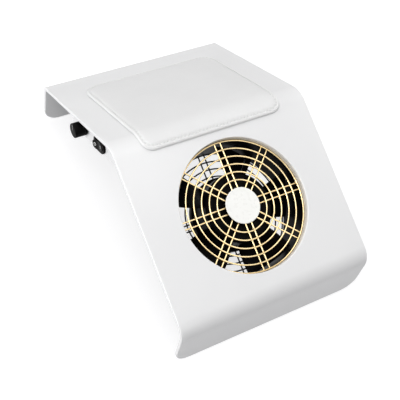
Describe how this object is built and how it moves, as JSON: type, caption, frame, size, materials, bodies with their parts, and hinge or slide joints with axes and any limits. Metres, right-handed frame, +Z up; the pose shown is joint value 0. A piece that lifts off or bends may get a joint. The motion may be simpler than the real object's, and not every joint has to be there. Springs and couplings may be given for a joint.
{
  "type": "nail dust collector",
  "caption": "Table dust collector for manicure work: bent white sheet stand with a stitched hand pad, a guarded round fan opening in the slope, a speed knob and a rocker switch.",
  "frame": {"origin": "on the table, under the middle of the bounding box", "axes": "+X to the right as seen by the person at the fan side looking at the slope, +Y to the rear from the fan slope towards the hand pad, +Z up"},
  "size_m": [0.1924, 0.285, 0.1148],
  "materials": {
    "white_gloss": "smooth gloss white sheet",
    "white_leather": "white smooth-grain artificial leather",
    "pad_foam": "soft open foam",
    "gasket_foam": "pale closed-cell foam strip",
    "gold_wire": "bright gold-coloured plated wire",
    "ivory_disc": "plain ivory enamel, blank",
    "black_wire": "black lacquered wire",
    "black_plastic": "black moulded plastic",
    "black_gloss": "black gloss moulded plastic",
    "steel": "zinc-plated steel",
    "ferrite": "dark grey magnet, sheet iron and ferrite",
    "brass": "plain brass",
    "copper": "enamelled copper wire",
    "aluminium": "plain aluminium",
    "board_green": "green laminate",
    "connector_ivory": "ivory nylon",
    "lead_sleeve": "dark soft sleeving"
  },
  "bodies": {
    "stand": {"bent_shell": "white_gloss", "control_tray": "white_gloss", "hand_pad_foam": "pad_foam", "hand_pad_cover": "white_leather", "fan_gasket": "gasket_foam", "inlet_guard": "gold_wire", "guard_centre_disc": "ivory_disc", "outlet_guard": "black_wire", "fan_frame": "black_plastic", "bearing_tube": "brass", "front_bearing": "steel", "rear_bearing": "steel", "stator_core": "ferrite", "stator_windings": "copper", "motor_board": "board_green", "speed_potentiometer": "aluminium", "potentiometer_nut": "steel", "switch_housing": "black_plastic", "switch_terminal_front": "brass", "switch_terminal_rear": "brass", "power_inlet": "black_plastic", "inlet_pin": "brass", "inlet_nut": "steel", "control_board": "board_green", "board_screw_front": "steel", "board_screw_rear": "steel", "smoothing_capacitor": "lead_sleeve", "heat_sink": "aluminium", "power_transistor": "black_plastic", "filter_choke": "ferrite", "signal_connector": "connector_ivory", "power_connector": "connector_ivory", "lead_grommet": "lead_sleeve", "speed_lead": "lead_sleeve", "switch_lead": "lead_sleeve", "inlet_lead": "lead_sleeve", "fan_lead": "lead_sleeve", "fan_stud_left_front": "steel", "stud_nut_left_front": "steel", "tray_boss_left_front": "white_gloss", "tray_screw_left_front": "steel", "fan_stud_left_rear": "steel", "stud_nut_left_rear": "steel", "tray_boss_left_rear": "white_gloss", "tray_screw_left_rear": "steel", "fan_stud_right_front": "steel", "stud_nut_right_front": "steel", "tray_boss_right_front": "white_gloss", "tray_screw_right_front": "steel", "fan_stud_right_rear": "steel", "stud_nut_right_rear": "steel", "tray_boss_right_rear": "white_gloss", "tray_screw_right_rear": "steel"},
    "fan_rotor": {"impeller": "black_gloss", "rotor_magnet_ring": "ferrite", "fan_shaft": "steel", "shaft_clip": "steel"},
    "speed_dial": {"speed_knob": "black_plastic", "potentiometer_shaft": "aluminium"},
    "power_rocker": {"switch_rocker": "black_gloss"}
  },
  "joints": [
    {"name": "fan_spin", "type": "hinge", "parent": "stand", "child": "fan_rotor", "pos_m": [0.00225, -0.06697, 0.08243], "axis": [0, -0.3955, 0.9184], "continuous": true},
    {"name": "knob_turn", "type": "hinge", "parent": "stand", "child": "speed_dial", "pos_m": [-0.09175, 0.0662, 0.06932], "axis": [-1, 0, 0], "range_deg": [-140, 140]},
    {"name": "switch_rock", "type": "hinge", "parent": "stand", "child": "power_rocker", "pos_m": [-0.08305, 0.03602, 0.0805], "axis": [0, -0.4446, -0.8957], "range_deg": [0, 18]}
  ]
}
